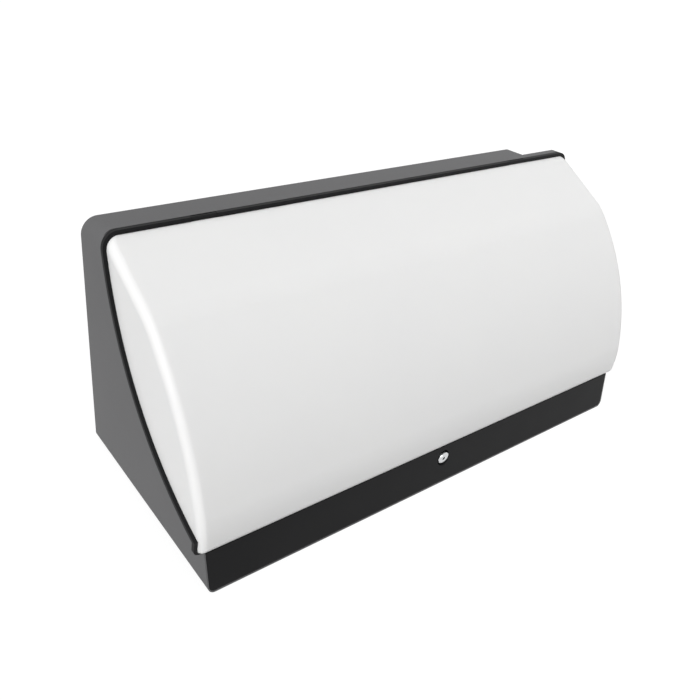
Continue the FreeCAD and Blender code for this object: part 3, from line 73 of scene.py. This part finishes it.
def unevenness(tree, size_mm, detail, stretch):
    """A noise that keeps its place on the object, with grains about size_mm across."""
    place = add(tree, "ShaderNodeTexCoord")
    spread = add(tree, "ShaderNodeMapping", {"Vector": place.outputs["Object"], "Scale": stretch})
    noise = add(tree, "ShaderNodeTexNoise", {"Vector": spread.outputs[0],
                                             "Scale": 1 / (size_mm * MM), "Detail": detail})
    return noise.outputs["Fac"]


def grain(tree, shader, size_mm, depth_mm, strength, detail=2.0, stretch=EVEN):
    """Relief from a noise whose grains are size_mm across and depth_mm deep."""
    bump = add(tree, "ShaderNodeBump", {"Height": unevenness(tree, size_mm, detail, stretch),
                                        "Distance": depth_mm * MM, "Strength": strength})
    tree.links.new(bump.outputs["Normal"], shader.inputs["Normal"])


def blend_tints(tree, shader, factor, tints):
    """Colour that goes from the first tint to the second as the factor goes from 0 to 1."""
    mix = add(tree, "ShaderNodeMix", {"Factor": factor, "A": colour(tints[0]),
                                      "B": colour(tints[1])}, data_type="RGBA")
    tree.links.new(mix.outputs["Result"], shader.inputs["Base Color"])


def mottle(tree, shader, size_mm, tints, rough, stretch=EVEN):
    """Slow drift of colour between two tints and of roughness between two values."""
    drift = unevenness(tree, size_mm, detail=3.0, stretch=stretch)
    blend_tints(tree, shader, drift, tints)
    gloss = add(tree, "ShaderNodeMapRange", {"Value": drift, "To Min": rough[0],
                                             "To Max": rough[1]})
    tree.links.new(gloss.outputs["Result"], shader.inputs["Roughness"])


def distance_from_row(tree, axis, one_place, pitch):
    """How far a point lies, along one axis, from the nearest of places set every pitch metres."""
    place = add(tree, "ShaderNodeTexCoord")
    split = add(tree, "ShaderNodeSeparateXYZ", {"Vector": place.outputs["Object"]})
    moved = add(tree, "ShaderNodeMath", {0: split.outputs[axis], 1: pitch / 2 - one_place},
                operation="ADD")
    repeat = add(tree, "ShaderNodeMath", {0: moved.outputs[0], 1: pitch},
                 operation="FLOORED_MODULO")
    past = add(tree, "ShaderNodeMath", {0: repeat.outputs[0], 1: pitch / 2}, operation="SUBTRACT")
    return add(tree, "ShaderNodeMath", {0: past.outputs[0]}, operation="ABSOLUTE").outputs[0]


# ---------------------------------------------------------------- finishes


def powder_coat(name, tints, rough):
    """Polyester powder coat on a metal casting: a satin skin with a fine even texture."""
    material, tree, shader = surface(name, tints[0], rough[0], IOR=1.5, Specular_IOR_Level=0.3)
    grain(tree, shader, size_mm=0.9, depth_mm=0.10, strength=0.45, detail=3.0)
    mottle(tree, shader, size_mm=38, tints=tints, rough=rough)
    return material


def textured_black_moulding():
    """Black polycarbonate out of a spark-eroded mould: nearly matt, with a fine sand grain."""
    material, tree, shader = surface("black_textured_polycarbonate", "#131314", 0.6, IOR=1.58,
                                     Specular_IOR_Level=0.12)
    grain(tree, shader, size_mm=0.7, depth_mm=0.07, strength=0.5)
    mottle(tree, shader, size_mm=30, tints=("#121213", "#161617"), rough=(0.56, 0.66))
    return material


def opal_moulding():
    """Opal acrylic, injection moulded: milky, with light spreading inside and a soft gloss."""
    material, tree, shader = surface(
        "opal_acrylic", "#ebebeb", 0.42, IOR=1.49, Specular_IOR_Level=0.22,
        Subsurface_Weight=0.35, Subsurface_Scale=4 * MM, Subsurface_Radius=(1.0, 0.98, 0.95))
    grain(tree, shader, size_mm=22, depth_mm=0.05, strength=0.25, detail=1.0)
    mottle(tree, shader, size_mm=60, tints=("#e9e9e9", "#ececeb"), rough=(0.38, 0.48))
    return material


def moulded_rubber():
    """Black silicone rubber, press moulded: dull and slightly dusty."""
    material, tree, shader = surface("black_silicone_rubber", "#1b1b1c", 0.75, IOR=1.42)
    grain(tree, shader, size_mm=0.5, depth_mm=0.03, strength=0.4)
    mottle(tree, shader, size_mm=14, tints=("#19191a", "#242424"), rough=(0.68, 0.85))
    return material


def turned_metal(name, tints, rough):
    """Machine-turned metal: bright, with fine tool rings drawn coarse enough to show."""
    material, tree, shader = surface(name, tints[0], rough[0], Metallic=1.0)
    grain(tree, shader, size_mm=0.25, depth_mm=0.01, strength=0.25, stretch=(1, 4, 1))
    mottle(tree, shader, size_mm=5, tints=tints, rough=rough)
    return material


def zinc_plated_steel():
    """Bright zinc plate on small screws: pale, faintly blue and slightly uneven."""
    material, tree, shader = surface("zinc_plated_steel", "#c6cad0", 0.3, Metallic=1.0)
    grain(tree, shader, size_mm=0.4, depth_mm=0.01, strength=0.3)
    mottle(tree, shader, size_mm=3, tints=("#bfc4cb", "#d3d4d2"), rough=(0.24, 0.4))
    return material


def moulded_nylon(name, tints):
    """Unfilled nylon, injection moulded: waxy, slightly see-through at its edges."""
    material, tree, shader = surface(name, tints[0], 0.42, IOR=1.53, Subsurface_Weight=0.08,
                                     Subsurface_Scale=1 * MM)
    grain(tree, shader, size_mm=0.6, depth_mm=0.03, strength=0.3)
    mottle(tree, shader, size_mm=9, tints=tints, rough=(0.36, 0.5))
    return material


def middle_height(node):
    """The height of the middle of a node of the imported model."""
    low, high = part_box(node)
    return (low[2] + high[2]) / 2


# the boards stand above one another at an even pitch, and each carries a row of chips
FIRST_BOARD = middle_height("light_board_lower")
BOARD_PITCH = middle_height("light_board_middle") - FIRST_BOARD
MIDDLE_CHIP = 0.0
CHIP_PITCH = 17.5 * MM


def solder_mask_board():
    """Glass-epoxy board under white solder mask, with two copper tracks just showing."""
    mask_tint, track_tint = "#e9ebe8", "#d6dbcf"
    track_from_middle = 4.4 * MM
    track_half_width = 0.7 * MM
    material, tree, shader = surface("white_solder_mask", mask_tint, 0.32, IOR=1.5)
    grain(tree, shader, size_mm=0.8, depth_mm=0.02, strength=0.3)
    height = distance_from_row(tree, "Z", FIRST_BOARD, BOARD_PITCH)
    track = add(tree, "ShaderNodeMath", {0: height, 1: track_from_middle, 2: track_half_width},
                operation="COMPARE")
    blend_tints(tree, shader, track.outputs[0], (mask_tint, track_tint))
    return material


def phosphor_chips():
    """White chip frames, each filled with a square of yellow phosphor silicone."""
    frame_tint, phosphor_tint = "#f0efe9", "#e6cf5a"
    phosphor_half_width = 1.25 * MM
    material, tree, shader = surface("phosphor_silicone", phosphor_tint, 0.3, IOR=1.41)
    within = [add(tree, "ShaderNodeMath", {0: distance_from_row(tree, axis, one_place, pitch),
                                           1: phosphor_half_width}, operation="LESS_THAN")
              for axis, one_place, pitch in (("X", MIDDLE_CHIP, CHIP_PITCH),
                                             ("Z", FIRST_BOARD, BOARD_PITCH))]
    filled = add(tree, "ShaderNodeMath", {0: within[0].outputs[0], 1: within[1].outputs[0]},
                 operation="MULTIPLY")
    blend_tints(tree, shader, filled.outputs[0], (frame_tint, phosphor_tint))
    grain(tree, shader, size_mm=0.4, depth_mm=0.02, strength=0.3)
    return material


def drawn_aluminium():
    """Drawn aluminium tube, lightly brushed along its length."""
    material, tree, shader = surface("drawn_aluminium", "#c9cbcd", 0.34, Metallic=1.0)
    grain(tree, shader, size_mm=0.4, depth_mm=0.012, strength=0.35, stretch=(0.04, 1, 1))
    mottle(tree, shader, size_mm=8, tints=("#c2c5c8", "#d2d3d4"), rough=(0.3, 0.42),
           stretch=(0.1, 1, 1))
    return material


def wire_sleeve(name, tints):
    """Soft PVC sleeve, extruded: smooth and a little waxy."""
    material, tree, shader = surface(name, tints[0], 0.38, IOR=1.53)
    grain(tree, shader, size_mm=1.2, depth_mm=0.02, strength=0.3, detail=1.0)
    mottle(tree, shader, size_mm=6, tints=tints, rough=(0.33, 0.45))
    return material


def striped_sleeve():
    """Earth wire sleeve: green, with a yellow stripe wound along it."""
    green, yellow = "#2f7a3a", "#d8c531"
    stripe_pitch = 5.712 * MM
    stripe_lean = (0.5, 0.2, 0.9)
    stripe_starts_at = 0.62
    material, tree, shader = surface("green_yellow_sleeve", green, 0.38, IOR=1.53)
    place = add(tree, "ShaderNodeTexCoord")
    lean = add(tree, "ShaderNodeMapping", {"Vector": place.outputs["Object"],
                                           "Rotation": stripe_lean})
    # the wave node's bands repeat at every tenth of pi of its scaled length, and the stripe
    # is where the wave stands above stripe_starts_at
    wave = add(tree, "ShaderNodeTexWave", {"Vector": lean.outputs[0],
                                           "Scale": math.pi / 10 / stripe_pitch})
    stripe = add(tree, "ShaderNodeMath", {0: wave.outputs["Fac"], 1: stripe_starts_at},
                 operation="GREATER_THAN")
    blend_tints(tree, shader, stripe.outputs[0], (green, yellow))
    grain(tree, shader, size_mm=1.2, depth_mm=0.02, strength=0.3)
    return material


grey_coat = powder_coat("grey_powder_coat", ("#545455", "#636364"), (0.52, 0.64))
white_coat = powder_coat("white_powder_coat", ("#e4e4e2", "#ebebe9"), (0.3, 0.4))
black_moulding = textured_black_moulding()
opal = opal_moulding()
rubber = moulded_rubber()
brass = turned_metal("turned_brass", ("#c9a75a", "#d6b56c"), (0.25, 0.38))
stainless = turned_metal("turned_stainless_steel", ("#c9cacb", "#dadbdc"), (0.2, 0.32))
zinc = zinc_plated_steel()
white_nylon = moulded_nylon("natural_nylon", ("#e2ded0", "#e9e5d8"))
cream_nylon = moulded_nylon("cream_nylon", ("#d9d3c0", "#e0dac9"))
board_face = solder_mask_board()
chip_face = phosphor_chips()
tube_metal = drawn_aluminium()
brown_sleeve = wire_sleeve("brown_sleeve", ("#5a3a26", "#63402a"))
blue_sleeve = wire_sleeve("blue_sleeve", ("#2a4f9a", "#3058a6"))
red_sleeve = wire_sleeve("red_sleeve", ("#a8261f", "#b52d25"))
black_sleeve = wire_sleeve("black_sleeve", ("#1c1c1d", "#262627"))
earth_sleeve = striped_sleeve()

FINISHES = {
    "housing": grey_coat,
    "mouth_seal": rubber, "lens_seal": rubber, "cover_screw_seal": rubber,
    "cable_grommet": rubber, "driver_fill": rubber,
    "screw_insert": brass, "terminal_clamps": brass, "earth_tag": brass,
    "gear_tray": white_coat,
    "tray_screws": zinc, "board_screws": zinc, "driver_screws": zinc, "terminal_screws": zinc,
    "terminal_fixings": zinc, "earth_washer": zinc, "earth_screw": zinc,
    "cover_screw_washer": zinc,
    "light_board_lower": board_face, "light_board_middle": board_face,
    "light_board_upper": board_face,
    "light_chips_lower": chip_face, "light_chips_middle": chip_face,
    "light_chips_upper": chip_face,
    "board_plugs": white_nylon, "terminal_body": cream_nylon,
    "board_jumper_lower": red_sleeve, "board_jumper_upper": red_sleeve,
    "driver_case": tube_metal, "driver_end_left": black_moulding,
    "driver_end_right": black_moulding,
    "live_wire": brown_sleeve, "neutral_wire": blue_sleeve, "earth_wire": earth_sleeve,
    "light_wire_positive": red_sleeve, "light_wire_negative": black_sleeve,
    "cover_rim": black_moulding, "diffuser": opal,
    "cover_screw": stainless, "hinge_pin_left": stainless, "hinge_pin_right": stainless,
    "hinge_knuckle_left": black_moulding, "hinge_knuckle_right": black_moulding,
}
for name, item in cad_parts.items():
    item.data.materials.clear()
    item.data.materials.append(FINISHES[name])


# ---------------------------------------------------------------- floor, backdrop and light

FLOOR_HALF_WIDTH = 6.0
FLOOR_GAP = 0.2 * MM


def seen_directly(tree):
    """1 for rays from the camera, a mirror or clear plastic, 0 for light that spreads."""
    rays = add(tree, "ShaderNodeLightPath")
    either = add(tree, "ShaderNodeMath", {0: rays.outputs["Is Camera Ray"],
                                          1: rays.outputs["Is Glossy Ray"]}, operation="MAXIMUM")
    return add(tree, "ShaderNodeMath", {0: either.outputs[0],
                                        1: rays.outputs["Is Transmission Ray"]},
               operation="MAXIMUM").outputs[0]


def pale_floor():
    """Matt paper: grey enough to bounce little light, lifted to white where it is seen."""
    lift_where_seen = 0.72
    material = bpy.data.materials.new("pale_floor")
    material.use_nodes = True
    tree = material.node_tree
    tree.nodes.clear()
    paper = add(tree, "ShaderNodeBsdfDiffuse", {"Color": colour("#a0a0a0")})
    lift = add(tree, "ShaderNodeMath", {0: seen_directly(tree), 1: lift_where_seen},
               operation="MULTIPLY")
    glow = add(tree, "ShaderNodeEmission", {"Strength": lift.outputs[0]})
    both = add(tree, "ShaderNodeAddShader", {0: paper.outputs[0], 1: glow.outputs[0]})
    add(tree, "ShaderNodeOutputMaterial", {"Surface": both.outputs[0]})
    return material


def studio_floor(half, height):
    """A flat sheet under the object, far wider than the view."""
    mesh = bpy.data.meshes.new("studio_floor")
    mesh.from_pydata([(-half, -half, height), (half, -half, height), (half, half, height),
                      (-half, half, height)], [], [(0, 1, 2, 3)])
    mesh.materials.append(pale_floor())
    floor = bpy.data.objects.new("studio_floor", mesh)
    bpy.context.scene.collection.objects.link(floor)


def studio_sky():
    """White where it is seen, and an even, softer level where it only gives light."""
    level_as_light, level_where_seen = 0.44, 1.0
    world = bpy.data.worlds.new("studio")
    bpy.context.scene.world = world
    world.use_nodes = True
    tree = world.node_tree
    tree.nodes.clear()
    level = add(tree, "ShaderNodeMapRange", {"Value": seen_directly(tree),
                                             "To Min": level_as_light,
                                             "To Max": level_where_seen})
    sky = add(tree, "ShaderNodeBackground", {"Color": colour("#ffffff"),
                                              "Strength": level.outputs["Result"]})
    add(tree, "ShaderNodeOutputWorld", {"Surface": sky.outputs[0]})


def soft_lamp(name, direction, strength, spread):
    """A distant soft lamp that shines from `direction`, `spread` degrees wide."""
    light = bpy.data.lights.new(name, "SUN")
    light.energy = strength
    light.angle = math.radians(spread)
    item = bpy.data.objects.new(name, light)
    item.rotation_euler = Vector(direction).to_track_quat("Z", "Y").to_euler()
    bpy.context.scene.collection.objects.link(item)


studio_floor(FLOOR_HALF_WIDTH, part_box("housing")[0][2] - FLOOR_GAP)
studio_sky()
soft_lamp("key_from_upper_left", direction=(-0.8, -0.45, 0.82), strength=2.25, spread=30)
soft_lamp("low_fill_from_left", direction=(-0.95, -0.3, 0.15), strength=0.4, spread=60)


# ---------------------------------------------------------------- camera

# the photograph's camera, solved from the object's edges, with angles in degrees
PHOTO_SIDE_PX = 700
FOCAL_LENGTH_PX = 647.48
VIEW_CENTRE_PX = (225.34, 419.13)
CAMERA_TURN = -35.426
CAMERA_HEIGHT = 38.750
CAMERA_ROLL = 4.886
CAMERA_PLACE_MM = (-276.35, -293.04, 196.11)
SENSOR_WIDTH_MM = 36


def photo_camera():
    """The photograph's view: from the left and above, and slightly rolled."""
    turn, height, roll = (math.radians(a) for a in (CAMERA_TURN, CAMERA_HEIGHT, CAMERA_ROLL))
    back = Vector((math.sin(turn) * math.cos(height), -math.cos(turn) * math.cos(height),
                   math.sin(height)))
    level_right = Vector((0, 0, 1)).cross(back).normalized()
    level_up = back.cross(level_right)
    right = level_right * math.cos(roll) + level_up * math.sin(roll)
    up = level_up * math.cos(roll) - level_right * math.sin(roll)
    data = bpy.data.cameras.new("photo_camera")
    data.sensor_width = SENSOR_WIDTH_MM
    data.lens = FOCAL_LENGTH_PX * SENSOR_WIDTH_MM / PHOTO_SIDE_PX
    data.shift_x = (PHOTO_SIDE_PX / 2 - VIEW_CENTRE_PX[0]) / PHOTO_SIDE_PX
    data.shift_y = (VIEW_CENTRE_PX[1] - PHOTO_SIDE_PX / 2) / PHOTO_SIDE_PX
    data.clip_start = 10 * MM
    item = bpy.data.objects.new("photo_camera", data)
    place = Matrix.Translation([value * MM for value in CAMERA_PLACE_MM])
    item.matrix_world = place @ Matrix((right, up, back)).transposed().to_4x4()
    bpy.context.scene.collection.objects.link(item)
    bpy.context.scene.camera = item


photo_camera()
bpy.context.scene.view_settings.view_transform = "Standard"
